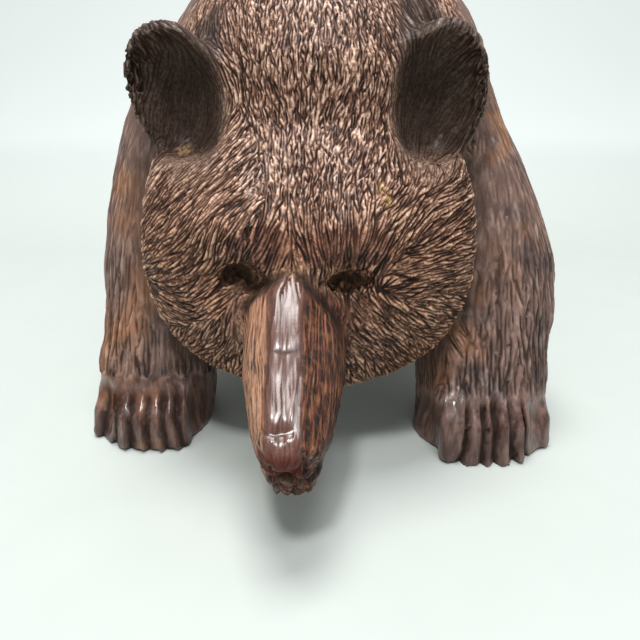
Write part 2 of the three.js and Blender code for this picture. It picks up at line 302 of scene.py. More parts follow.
muzzleCuts = [
    {"path": [(5, -6.6), (16, -6.2), (30, -6.2), (44, -7.0), (50, -7.4)], "width": 1.5, "depth": 0.5},
    {"path": [(6, 3.4), (18, 3.2), (32, 2.4), (44, 1.6), (51, 0.8)], "width": 0.9, "depth": 0.28},
    {"path": [(27.5, -6), (28.5, -2), (27.5, 2.6)], "width": 1.8, "depth": 0.22},
    {"path": [(49.0, -8), (50.2, -3.5), (49.2, 1.0)], "width": 1.3, "depth": 0.55},
]
frontCuts = [
    {"path": [(-16.5, 27.0), (-12.6, 27.8), (-10.4, 29.8), (-8.0, 27.6), (-4.5, 26.6), (-1.5, 29.0),
              (-0.2, 34.0)],
     "width": 2.3, "depth": 2.0},
    {"path": [(-14.0, 36.8), (-14.6, 33.0), (-14.2, 29.6)], "width": 1.3, "depth": 0.8},
    {"path": [(-6.2, 36.4), (-5.4, 32.6), (-5.8, 29.0)], "width": 1.3, "depth": 0.8},
    {"path": [(-15.2, 21.5), (-13.2, 24.4), (-11.4, 25.6)], "width": 1.9, "depth": 1.5},
    {"path": [(-9.6, 17.6), (-8.8, 21.5), (-8.2, 24.6)], "width": 1.5, "depth": 1.0},
    {"path": [(-6.2, 18.4), (-5.0, 21.4), (-3.4, 24.2)], "width": 1.5, "depth": 1.1},
    {"path": [(-12.4, 18.2), (-12.6, 21.4)], "width": 1.3, "depth": 0.8},
    {"path": [(-2.2, 21.0), (-1.2, 25.0)], "width": 1.4, "depth": 0.9},
]
toeCuts = {
    "left": {"grooves": (-12.0, -5.4, -0.6, 6.4, 11.8), "width": 3.4, "depth": 2.6},
    "right": {"arrises": (-18.5, -12.2, -5.4, 1.3, 8.0, 13.8, 20.0), "depth": 2.7},
    "hind": {"grooves": (-9.6, -3.2, 3.2, 9.6), "width": 2.8, "depth": 1.7},
}


# The rest of the head's drawing, in millimetres: the eyes' lens, the rough chin, the shade behind the
# ruff, the ears' hollows and ragged rims, and how far the muzzle's end is let down
headForm = {
    "lens": {"at": (-0.4, -1.3), "half": (3.4, 2.0)},
    "chin": {"front": (148, 154), "top": (26, 29), "depth": 0.05, "facets": (0.42, 0.22)},
    "ruffShade": {"half": (58, 52), "front": (-108, -98), "back": (-64, -44), "top": 125},
    "earHollow": {"half": (14, 22), "depth": 1.0, "paintedShade": 0.78},
    "earRim": {"edge": (9, 13), "depth": 1.9, "top": 132},
    "noseDrop": {"chin": 1.3, "bridge": 1.1, "rise": (28, 38), "along": (14, 48), "front": -118},
}


# How deep a V cut along a path is at each place of a flat drawing, 0 beside it
def pathCut(places, path, width, depth):
    best = np.zeros(len(places))
    total = sum(math.dist(a, b) for a, b in zip(path, path[1:]))
    gone = 0
    for a, b in zip(path, path[1:]):
        a, b = np.array(a, float), np.array(b, float)
        reach = np.linalg.norm(b - a)
        t = np.clip(((places - a) @ (b - a)) / reach ** 2, 0, 1)
        off = np.linalg.norm(places - a - t[:, None] * (b - a), axis=1)
        s = (gone + t * reach) / total
        taper = np.clip(np.minimum(s, 1 - s) * 5 + 0.35, 0, 1)
        best = np.maximum(best, depth * taper * np.clip(1 - off / (width / 2), 0, 1) ** 0.8)
        gone += reach
    return best


# The drawing of the head: brows, eyes, muzzle, nose, chin and ears cut into the skin, with shade painted into
# its eye slots, cuts and ear hollows and onto the body behind the ruff
def shapeHead(points, normals, part):
    x, y, z = points.T / mm
    facePlace = np.stack((x - faceMiddle.x / mm, z - faceMiddle.z / mm), axis=1)
    inFront = (y < (faceMiddle.y + 2 * mm) / mm) & (normals[:, 1] < 0.2)
    inward = np.zeros(len(points))
    # How much painted shade each point takes, from 0 to 1, for the slots, cuts and hollows and the body
    # behind the ruff
    paintedShade = np.zeros(len(points))
    for brow in brows:
        u = (facePlace - brow["at"]) / brow["half"]
        share = np.clip(1.25 - (u ** 2).sum(1), 0, 1) * inFront
        inward += brow["depth"] * share ** 0.6 * (1 - part["muzzle"])
    for eye in eyes.values():
        across, up = (facePlace - eye["at"]).T
        cosine, sine = math.cos(eye["tilt"]), math.sin(eye["tilt"])
        along, over = across * cosine + up * sine, up * cosine - across * sine
        u, v = np.abs(along) / eye["half"][0], np.abs(over) / eye["half"][1]
        almond = np.clip(1 - u ** 1.35 - v ** 1.8, 0, 1) * inFront
        ball = headForm["lens"]
        u, v = (along - ball["at"][0]) / ball["half"][0], (over - ball["at"][1]) / ball["half"][1]
        lens = np.clip(1 - u ** 2 - v ** 2, 0, 1)
        inward += eye["depth"] * almond ** 0.8 - eye["lens"] * lens ** 0.6 * inFront
        # Painted shade in the eye slot, lighter over the lens
        paintedShade = np.maximum(paintedShade, smoothStep(almond, 0.02, 0.4) * (1.0 - 0.60 * lens))
    for cut in faceCuts:
        depth = pathCut(facePlace, **cut) * inFront
        inward += depth
        # Painted shade in the face cut
        paintedShade = np.maximum(paintedShade, np.clip(depth / cut["depth"] * 1.3, 0, 1) * 0.95)
    along, over, across = (v / mm for v in muzzlePlace(points))
    topPlace = np.stack((along, across), axis=1)
    onTop = part["muzzle"] * (over > -14)
    for cut in muzzleCuts:
        depth = pathCut(topPlace, **cut) * onTop
        inward += depth
        # Painted shade in the muzzle cut
        paintedShade = np.maximum(paintedShade, depth / cut["depth"] * 0.6)
    tipPlace = np.stack((x - midX / mm, z), axis=1)
    onTip = (y < -155) & (normals[:, 1] < 0.3)
    for cut in frontCuts:
        depth = pathCut(tipPlace, **cut) * onTip
        inward += depth
        # Painted shade in the nose and nostril cuts
        paintedShade = np.maximum(paintedShade, np.clip(depth / cut["depth"] * 1.2, 0, 1) * 0.9)
    form = headForm["chin"]
    chin = smoothStep(-y, *form["front"]) * (1 - smoothStep(z, *form["top"])) * (normals[:, 1] < 0.5)
    large, small = form["facets"]
    facets = large * lumps(points, 2.4 * mm, 51) + small * lumps(points, 1.1 * mm, 52)
    inward += chin * (form["depth"] + facets)
    # Painted shade in patches over the chin's rough facets
    paintedShade = np.maximum(paintedShade, chin * np.clip(lumps(points, 1.8 * mm, 53) * 1.2 - 0.1, 0, 0.6))
    form = headForm["ruffShade"]
    edge = outline(facePlace[:, 0] / form["half"][0], facePlace[:, 1] / form["half"][1], 2.4)
    body = 1 - np.clip(part["face"] + part["ears"] + part["muzzle"], 0, 1)
    shade = (1 - smoothStep(edge, 1.0, 1.5)) * smoothStep(y, *form["front"])
    shade = shade * (1 - smoothStep(y, *form["back"])) * (z < form["top"])
    # Painted shade on the body just behind the face's rim
    paintedShade = np.maximum(paintedShade, shade * body * 0.6)
    for spot in earSpots:
        side = 1 if spot.x > faceMiddle.x else -1
        form = headForm["earHollow"]
        u, v = (x - spot.x / mm + side * 1.5) / form["half"][0], (z - spot.z / mm + 2) / form["half"][1]
        hollow = np.clip(1.15 - (u ** 2 + v ** 2), 0, 1) * (y < spot.y / mm + 6) * (normals[:, 1] < 0.3)
        # Painted shade in the ear hollow
        paintedShade = np.maximum(paintedShade, hollow ** 0.6 * form["paintedShade"])
        inward += form["depth"] * hollow
        form = headForm["earRim"]
        rim = part["ears"] * smoothStep((x - spot.x / mm) * side, *form["edge"])
        rim = rim * (np.abs(normals[:, 0]) > 0.35)
        tufts = np.clip(lumps(points, 2.1 * mm, 41) + 0.15, 0, 1)
        inward += form["depth"] * tufts * rim * (z < form["top"])
    moved = -normals * inward[:, None]
    form = headForm["noseDrop"]
    drop = form["chin"] + form["bridge"] * smoothStep(z, *form["rise"])
    moved[:, 2] -= drop * smoothStep(along, *form["along"]) * (y < form["front"])
    return moved, paintedShade


# How far the toe cuts reach back and up, the swell of the wrist above them, how the cuts splay towards the
# floor and wander, the steep share of a flute, and how far the bare toes sink in; in millimetres
pawForm = {
    "reach": {"back": (15, 24), "up": (18.5, 23.5), "frontOnly": (5, 18)},
    "swell": {"up": (25, 8), "aside": (4, 16), "back": (22, 22)},
    "splay": 0.012,
    "wander": (9, 0.5),
    "steep": 0.26,
    "sink": 0.7,
}


# The toes of one paw: round fingers between V grooves, or shingled flutes with sharp arrises, with shade
# painted into the grooves and into each flute's hollow
def shapePaw(points, normals, part, paw, cuts, swellOut):
    x, y, z = points.T / mm
    u = x - paw["x"] / mm
    back = y - paw["tip"] / mm
    reach = (1 - smoothStep(back, *pawForm["reach"]["back"])) * (1 - smoothStep(z, *pawForm["reach"]["up"]))
    side = 1 if paw["x"] > midX else -1
    (height, heightSpan), (depth, depthSpan) = pawForm["swell"]["up"], pawForm["swell"]["back"]
    swell = bell(z - height, heightSpan) * smoothStep(u * side, *pawForm["swell"]["aside"])
    swell = swell * bell(back - depth, depthSpan)
    wanderSize, wanderBy = pawForm["wander"]
    u = u * (1 + pawForm["splay"] * np.clip(z, 0, 24)) + lumps(points, wanderSize * mm, 21) * wanderBy
    if "grooves" in cuts:
        share = np.zeros(len(points))
        for g in cuts["grooves"]:
            share = np.maximum(share, np.clip(1 - np.abs(u - g) / (cuts["width"] / 2), 0, 1))
        # Painted shade in the V grooves
        paintedShade = np.clip(share * 1.2, 0, 1) * reach
    else:
        edges = np.array(cuts["arrises"])
        k = np.clip(np.searchsorted(edges, u) - 1, 0, len(edges) - 2)
        t = np.clip((u - edges[k]) / (edges[k + 1] - edges[k]), 0, 1)
        steep = pawForm["steep"]
        share = np.where(t < steep, t / steep, (1 - t) / (1 - steep)) * (u > edges[0]) * (u < edges[-1])
        # Painted shade in the hollow of each flute
        paintedShade = smoothStep(share, 0.30, 0.90) * reach * 0.95
    moved = np.zeros((len(points), 3))
    moved[:, 0] = swellOut * side * swell
    moved[:, 1] = cuts["depth"] * share * reach * (1 - smoothStep(back, *pawForm["reach"]["frontOnly"]))
    moved[:, 2] = -cuts["depth"] * share * reach * np.clip(normals[:, 2], 0, 1)
    moved -= normals * (pawForm["sink"] * part["toes"] * smoothStep(z, 1, 5))[:, None]
    return moved, paintedShade


def shapeBear(points, normals):
    moved = np.zeros((len(points), 3))
    paintedShade = np.zeros(len(points))

    def shapeSome(chosen, shape, *more):
        some = np.nonzero(chosen)[0]
        shift, shade = shape(points[some], normals[some], regions(points[some]), *more)
        moved[some] += shift
        paintedShade[some] = np.maximum(paintedShade[some], shade)

    shapeSome(points[:, 1] < -40 * mm, shapeHead)
    for paw, cuts, swellOut in (
        (frontPaws["left"], toeCuts["left"], 0.8), (frontPaws["right"], toeCuts["right"], 3.2),
        (hindPaws["left"], toeCuts["hind"], 0), (hindPaws["right"], toeCuts["hind"], 0),
    ):
        away = np.abs(points - (paw["x"], paw["tip"] + 20 * mm, 20 * mm))
        near = (away[:, 0] < 32 * mm) & (away[:, 1] < 34 * mm) & (away[:, 2] < 40 * mm)
        shapeSome(near, shapePaw, paw, cuts, swellOut)
    return moved * mm, paintedShade


# The way the gouge runs: on the face, places across it and how the hair lies there, in millimetres from
# the middle of the face; elsewhere, places on the bear and directions, both given for the left side
combOfFace = [
    ((0, 56), (0, 1)), ((-14, 44), (-0.35, 1)), ((14, 44), (0.35, 1)), ((-2, 30), (0, 1)),
    ((-24, 36), (-0.7, -1)), ((-30, 20), (-0.9, -0.8)), ((-44, 18), (-1, -0.7)), ((-48, 0), (-1, -0.4)),
    ((-46, -14), (-1, 0.1)), ((-38, -30), (-0.8, -1)), ((-24, -40), (-0.4, -1)), ((-13, 7), (-0.55, -1)),
    ((-22, 7), (-0.4, -1)), ((-20, -16), (-0.35, -1)), ((-30, -8), (-1, -0.7)), ((2, 8), (-0.25, 1)),
    ((12, 8), (0, 1)), ((20, 6), (0.5, 1)), ((24, 32), (0.35, 1)), ((30, 14), (0.9, 0.8)),
    ((44, 14), (1, 0.45)), ((34, 0), (1, 0.15)), ((48, -4), (1, 0)), ((44, -20), (1, -0.5)),
    ((34, -34), (0.7, -1)), ((18, -42), (0.35, -1)), ((22, -18), (0.8, -0.9)), ((38, 34), (0.3, 1)),
    ((-4, -44), (0, -1)), ((-47, 52), (-0.5, -1)), ((-38, 46), (-0.2, -1)), ((-28, 58), (0.5, -1)),
    ((-52, 60), (0.7, -1)), ((47, 52), (0.9, 1)), ((40, 40), (0.5, 1)), ((30, 58), (-0.2, 1)),
]
combOfBody = [
    ((0, -30, 172), (0, 1, 0)), ((0, -72, 150), (0, 0.8, 0.5)), ((0, 50, 152), (0, 1, 0)),
    ((0, 130, 150), (0, 0.9, -0.3)), ((0, 165, 110), (0, 0, -1)), ((50, -40, 150), (0.5, 0.4, -0.9)),
    ((65, -35, 120), (0.2, 0.3, -0.9)), ((75, -50, 90), (0.1, 0, -1)), ((84, -62, 55), (0, -0.15, -1)),
    ((62, -98, 32), (0, -0.3, -1)), ((44, -70, 60), (0, 0, -1)), ((66, 20, 115), (0, 0.9, -0.45)),
    ((60, 30, 76), (0, 1, -0.15)), ((0, 20, 60), (0, 1, 0)), ((70, 105, 115), (0, 0.45, -0.9)),
    ((78, 98, 78), (0, 0.1, -1)), ((78, 122, 40), (0, 0, -1)), ((50, 150, 90), (0, 0.15, -1)),
    ((40, 100, 45), (0, 0, -1)), ((0, -85, 45), (0, 0, -1)), ((40, 60, 140), (0.3, 1, -0.35)),
]


def combDirections(points, normals):
    face = []
    for (gx, gz), (dx, dz) in combOfFace:
        place = np.array((faceMiddle.x + gx * mm, faceMiddle.z + gz * mm))
        away = ((points[:, (0, 2)] - place) ** 2).sum(1) + (3 * mm) ** 2
        face.append((away ** -2.2, unit(np.array((dx, 0.0, dz)))))
    body = []
    for (gx, gy, gz), (dx, dy, dz) in combOfBody:
        for side in (-1, 1) if gx else (1,):
            place = np.array((midX + side * gx, gy, gz)) * mm
            away = ((points - place) ** 2).sum(1) + (6 * mm) ** 2
            body.append((away ** -2, unit(np.array((side * dx, dy, dz)))))
    part = regions(points)
    onFace = np.clip(part["face"] * 1.5 + part["ears"], 0, 1)
    blended = np.zeros((len(points), 3, 3))
    for guides, share in ((face, onFace), (body, 1 - onFace)):
        total = sum(weight for weight, direction in guides)
        for weight, direction in guides:
            blended += (share * weight / total)[:, None, None] * np.outer(direction, direction)
    onMuzzle = part["muzzle"][:, None, None]
    blended = blended * (1 - onMuzzle) + onMuzzle * np.outer(muzzleAlong, muzzleAlong)
    along = np.linalg.eigh(blended)[1][:, :, 2]
    along = along - normals * (along * normals).sum(1, keepdims=True)
    return unit(along)


# Cuts of the V gouge, laid side by side: how wide, long and deep they are in each part, in millimetres,
# and how far they stray from the comb, in radians
gougeCuts = {
    "face": {"width": 1.20, "length": 10.5, "depth": 0.98, "stray": 0.11},
    "forehead": {"width": 1.08, "length": 5.0, "depth": 0.76, "stray": 0.20},
    "brow": {"width": 1.35, "length": 9.5, "depth": 1.0, "stray": 0.07},
    "ears": {"width": 1.45, "length": 13.0, "depth": 0.85, "stray": 0.08},
    "body": {"width": 2.0, "length": 16.0, "depth": 0.36, "stray": 0.13},
    "legs": {"width": 2.1, "length": 20.0, "depth": 0.95, "stray": 0.10},
    "muzzle": {"width": 1.3, "length": 13.0, "depth": 0.22, "stray": 0.05},
    "pack": 0.54,  # of a cut's width, the least gap between neighbours' centres
    "reach": 0.36,  # of a cut's length, the least gap from end to end
    "tries": 260000,
    "seed": 11,
}


# How much each place of the face belongs to the brow tufts, with an edge of the given softness
def browShare(places, soft):
    share = np.zeros(len(places))
    for tuft in brows:
        off = (places - tuft["at"]) / tuft["half"]
        share = np.maximum(share, smoothStep(1.3 - (off ** 2).sum(1), 0, soft))
    return share


# The size of the cuts at each point, and where the skin is left without them
def cutSizes(points):
    part = regions(points)
    x, y, z = points.T / mm
    place = np.stack((x - faceMiddle.x / mm, z - faceMiddle.z / mm), axis=1)
    shares = {}
    upper = smoothStep(place[:, 1], 12, 22) * (1 - smoothStep(np.abs(place[:, 0] - 8), 22, 38))
    brow = browShare(place, 0.4)
    onHead = np.clip(part["face"] + part["ears"], 0, 1)
    shares["ears"] = part["ears"]
    shares["brow"] = brow * (1 - part["ears"]) * onHead
    shares["forehead"] = upper * (1 - part["ears"]) * (1 - brow) * onHead
    shares["face"] = onHead - shares["ears"] - shares["brow"] - shares["forehead"]
    lower = 1 - smoothStep(z, 45, 75)
    shares["legs"] = (1 - onHead) * lower
    shares["body"] = (1 - onHead) * (1 - lower)
    for name in shares:
        shares[name] = np.clip(shares[name], 0, 1) * (1 - part["muzzle"])
    shares["muzzle"] = part["muzzle"]
    sizes = {}
    for key in ("width", "length", "depth", "stray"):
        sizes[key] = sum(gougeCuts[name][key] * share for name, share in shares.items())
        sizes[key] = sizes[key] * (1 if key == "stray" else mm)
    bare = np.maximum(np.clip(part["toes"] * 1.6, 0, 1), (z < 1) * 1.0)
    return sizes, bare


# Whether a cut has room: no kept cut lies both too near along it and too near beside it
def hasRoom(grid, span, key, spot, run, side, reach, gap):
    px, py, pz = spot
    rx, ry, rz = run
    sx, sy, sz = side
    kx, ky, kz = key
    for ax in range(kx - span, kx + span + 1):
        for ay in range(ky - span, ky + span + 1):
            for az in range(kz - span, kz + span + 1):
                for qx, qy, qz in grid.get((ax, ay, az), ()):
                    dx, dy, dz = px - qx, py - qy, pz - qz
                    if abs(dx * rx + dy * ry + dz * rz) < reach and abs(dx * sx + dy * sy + dz * sz) < gap:
                        if dx * dx + dy * dy + dz * dz < reach * reach * 1.2:
                            return False
    return True


# Picks where the cuts go: random places, kept when there is room
def placeCuts(points, normals):
    rng = np.random.default_rng(gougeCuts["seed"])
    order = rng.permutation(len(points))[:gougeCuts["tries"]]
    places, facing = points[order], normals[order]
    directions = combDirections(places, facing)
    sizes, bare = cutSizes(places)
    wanted = bare < 0.5
    places, facing, directions = places[wanted], facing[wanted], directions[wanted]
    sizes = {key: value[wanted] for key, value in sizes.items()}
    turn = rng.normal(0, 1, len(places)) * sizes["stray"]
    sideways = np.cross(facing, directions)
    directions = unit(directions * np.cos(turn)[:, None] + sideways * np.sin(turn)[:, None])
    sideways = np.cross(facing, directions)
    cell = 4 * mm
    grid = {}
    kept = []
    lengths, widths = sizes["length"].tolist(), sizes["width"].tolist()
    keys = np.floor(places / cell).astype(int).tolist()
    spots, runs, sides = places.tolist(), directions.tolist(), sideways.tolist()
    for i in range(len(spots)):
        reach, gap = lengths[i] * gougeCuts["reach"], widths[i] * gougeCuts["pack"]
        span = 1 if reach < cell else 2
        if hasRoom(grid, span, keys[i], spots[i], runs[i], sides[i], reach, gap):
            grid.setdefault(tuple(keys[i]), []).append(spots[i])
            kept.append(i)
    kept = np.array(kept)
    cuts = {key: value[kept] for key, value in sizes.items()}
    cuts.update(place=places[kept], facing=facing[kept], run=directions[kept], side=sideways[kept])
    count = len(kept)
    cuts["length"] = cuts["length"] * rng.uniform(0.6, 1.35, count)
    cuts["width"] = cuts["width"] * rng.uniform(0.75, 1.2, count)
    cuts["depth"] = cuts["depth"] * rng.uniform(0.7, 1.2, count)
    cuts["bow"] = rng.normal(0, 0.012, count) / mm
    print("gouge cuts placed:", count)
    return cuts


# How deep the deepest cut is at each point
def cutDepths(points, normals, cuts, nearest=16):
    tree = kdtree.KDTree(len(cuts["place"]))
    for i, place in enumerate(cuts["place"]):
        tree.insert(place, i)
    tree.balance()
    deepest = np.zeros(len(points))
    find = tree.find_n
    chunk = 60000
    for start in range(0, len(points), chunk):
        some = points[start:start + chunk]
        found = np.array([[hit[1] for hit in find(point, nearest)] for point in some])
        best = np.zeros(len(some))
        for k in range(nearest):
            which = found[:, k]
            off = some - cuts["place"][which]
            along = (off * cuts["run"][which]).sum(1) / cuts["length"][which] * 2
            across = (off * cuts["side"][which]).sum(1)
            across = across - cuts["bow"][which] * (along * cuts["length"][which] / 2) ** 2
            facing = (normals[start:start + chunk] * cuts["facing"][which]).sum(1) > 0.25
            taper = np.clip(1 - along ** 2, 0, 1)
            shape = taper ** 0.5 - np.abs(across) / (cuts["width"][which] / 2)
            depth = cuts["depth"][which] * np.clip(shape, 0, 1) * facing
            best = np.maximum(best, depth)
        deepest[start:start + chunk] = best
    return deepest


# Draws the head and paws on the skin, cuts the hair into it and roughens the rest
skinForm = {"grain": (0.9, 0.04), "rough": (2.6, 0.07), "swell": (14, 0.6), "allOver": 0.15}


def carveFur(bear):
    mesh = bear.data
    points, normals = readPoints(mesh), readNormals(mesh)
    drawn, paintedShade = shapeBear(points, normals)
    points += drawn
    writePoints(mesh, points)
    normals = readNormals(mesh)
    cuts = placeCuts(points, normals)
    depths = cutDepths(points, normals, cuts)
    sizes, bare = cutSizes(points)
    part = regions(points)
    depths *= (1 - bare) * (1 - 0.7 * paintedShade)
    grain, rough, swell = (
        lumps(points, skinForm[name][0] * mm, seed) * skinForm[name][1] * mm
        for seed, name in ((3, "grain"), (4, "rough"), (5, "swell"))
    )
    body = 1 - np.clip(part["face"] + part["muzzle"] + part["ears"], 0, 1)
    inward = depths + (grain + rough) * (1 - 0.6 * part["muzzle"]) + swell * body + skinForm["allOver"] * mm
    points -= normals * inward[:, None]
    points[:, 2] = np.maximum(points[:, 2], 0)
    writePoints(mesh, points)
    cutShare = depths / np.maximum(sizes["depth"], 1e-6)
    return points, {"cut": cutShare, "paintedShade": paintedShade}


bear = makeBlockOut()
refineSkin(bear)
finePoints, carved = carveFur(bear)


# Thinned to what the form needs, under 200,000 triangles
thinning = {"triangles": 196000}
faces = len(bear.data.polygons)
applyModifier(bear, "DECIMATE", ratio=thinning["triangles"] / (faces * 2), use_collapse_triangulate=True)
print("thinned:", len(bear.data.polygons), "faces")

# Where the stain and the painted rim highlight change, in millimetres: the edges of the muzzle's tan side and
# of its top plane, with the flare of the top plane at its root; the nose pad's front, heights above the floor
# and half width. The painted highlight on the rim of the ruff starts and is full at these shares of the
# face's outline
stainAndHighlightEdges = {
    "tan": (6.0, 7.5),
    "top": {"left": (-6.6, -6.0), "right": (2.6, 3.4), "flare": 5, "flareEnd": (3, 15)},
    "pad": {
        "front": (158, 161), "low": (27.2, 28.4), "high": (36.4, 37.6), "centre": 2.6, "half": (5.2, 6.2),
    },
    "rim": (0.70, 0.86),
}


# Cut depth and shade carried over from the fine skin to the nearest point of the thinned one
def carryOver(points, finePoints, carved):
    tree = kdtree.KDTree(len(finePoints))
    for i, point in enumerate(finePoints):
        tree.insert(point, i)
    tree.balance()
    nearest = np.array([tree.find(point)[1] for point in points])
    return {name: value[nearest] for name, value in carved.items()}


def bareShare(points, facePlace, part):
    bare = np.zeros(len(points))
    for chip in bareChips:
        off = (facePlace - chip["at"]) / chip["half"]
        ragged = lumps(points, 0.9 * mm, 31) * 0.55
        bare = np.maximum(bare, smoothStep(1.1 - (off ** 2).sum(1) + ragged, 0.2, 0.7) * chip["share"])
    return bare * (points[:, 1] < faceMiddle.y + 14 * mm) * (part["muzzle"] < 0.5)


# Writes on the skin how much of each stain, of the painted shade and of the painted rim highlight every point
# takes, for the material to read
def paintShares(bear, finePoints, carved):
    points = readPoints(bear.data)
    shares = regions(points)
    shares.update(carryOver(points, finePoints, carved))
    along, over, across = (v / mm for v in muzzlePlace(points))
    facePlace = np.stack((points[:, 0] - faceMiddle.x, points[:, 2] - faceMiddle.z), axis=1) / mm
    shares["tan"] = shares["muzzle"] * smoothStep(-across, *stainAndHighlightEdges["tan"]) * (1 - smoothStep(over, -1, 1))
    top, pad = stainAndHighlightEdges["top"], stainAndHighlightEdges["pad"]
    widen = top["flare"] * (1 - smoothStep(along, *top["flareEnd"]))
    shares["top"] = shares["muzzle"] * smoothStep(across + widen, *top["left"])
    shares["top"] *= 1 - smoothStep(across - widen, *top["right"])
    shares["top"] *= (over > -8) * smoothStep(along, 2, 6)
    shares["brow"] = browShare(facePlace, 0.5) * (1 - shares["muzzle"]) * shares["face"]
    shares["bare"] = bareShare(points, facePlace, shares)
    shares["pad"] = smoothStep(-points[:, 1] / mm, *pad["front"]) * smoothStep(points[:, 2] / mm, *pad["low"])
    shares["pad"] *= 1 - smoothStep(points[:, 2] / mm, *pad["high"])
    shares["pad"] *= 1 - smoothStep(np.abs(across + pad["centre"]), *pad["half"])
    half = borders["faceHalf"]
    edge = outline(facePlace[:, 0] / half["across"], facePlace[:, 1] / half["up"], half["roundness"])
    # Painted rim highlight: a band along the face's outline that lightens the hair tips there
    shares["rim"] = smoothStep(edge, *stainAndHighlightEdges["rim"]) * shares["face"]
    for name, share in shares.items():
        layer = bear.data.attributes.new(name, "FLOAT", "POINT")
        layer.data.foreach_set("value", share.astype(np.float32))


paintShares(bear, finePoints, carved)
makeActive(bear)
bpy.ops.object.shade_smooth()
print("attributes painted")


# Wraps a socket of the material being wired, so that shader maths reads as plain expressions
class Wire:
    tree = None

    def __init__(self, socket):
        self.socket = socket

    @classmethod
    def node(cls, kind, settings=None, sockets=None, output=0):
        made = cls.tree.nodes.new(kind)
        for name, value in (settings or {}).items():
            setattr(made, name, value)
        for name, value in (sockets or {}).items():
            if isinstance(value, Wire):
                cls.tree.links.new(value.socket, made.inputs[name])
            else:
                made.inputs[name].default_value = value
        return cls(made.outputs[output])

    def maths(self, operation, other, flipped=False, clamp=False):
        pair = {0: other, 1: self} if flipped else {0: self, 1: other}
        return Wire.node("ShaderNodeMath", {"operation": operation, "use_clamp": clamp}, pair)

    def __add__(self, other):
        return self.maths("ADD", other)

    __radd__ = __add__

    def __sub__(self, other):
        return self.maths("SUBTRACT", other)

    def __rsub__(self, other):
        return self.maths("SUBTRACT", other, flipped=True)

    def __mul__(self, other):
        return self.maths("MULTIPLY", other)

    __rmul__ = __mul__

    def clamped(self):
        return self.maths("ADD", 0.0, clamp=True)


# The share of the second colour, 0 to 1, over the first
def mixColours(share, first, second):
    colours = {6: first, 7: second}
    for key, value in colours.items():
        if not isinstance(value, Wire):
            colours[key] = (*value, 1)
    return Wire.node("ShaderNodeMix", {"data_type": "RGBA"}, {0: share, **colours}, output=2)


def noise(place, scale, detail=3, roughness=0.55):
    sockets = {"Vector": place, "Scale": scale, "Detail": detail, "Roughness": roughness}
    return Wire.node("ShaderNodeTexNoise", {}, sockets)


# Where a value lies between two others, 0 to 1
def between(value, start, end):
    sockets = {"Value": value, "From Min": start, "From Max": end}
    return Wire.node("ShaderNodeMapRange", {"clamp": True}, sockets)


# Colours of the wood: its stains; a near-black that is painted as shade into grooves and hollows and also
# draws the muzzle's grain; and pale hair tips that are partly wear and partly painted highlight
stainAndPaintedLight = {
    "paintedShadeAndGrain": (0.0125, 0.0058, 0.0036),
    "hair": (0.160, 0.064, 0.034),
    "hairTipWornAndLit": (1.0, 0.70, 0.53),
    "cheekTipWornAndLit": (0.98, 0.58, 0.37),
    "body": (0.190, 0.112, 0.090),
    "bodyTip": (0.58, 0.41, 0.34),
    "blueBlack": (0.040, 0.033, 0.038),
    "orange": (0.36, 0.150, 0.060),
    "red": (0.120, 0.030, 0.015),
    "redTip": (0.54, 0.24, 0.14),
    "muzzle": (0.058, 0.019, 0.012),
    "muzzleTan": (0.52, 0.26, 0.155),
    "muzzleTop": (0.125, 0.048, 0.033),
    "pad": (0.100, 0.017, 0.008),
    "bare": (0.75, 0.47, 0.17),
}


def attribute(name):
    return Wire.node("ShaderNodeAttribute", {"attribute_name": name}, output=2)


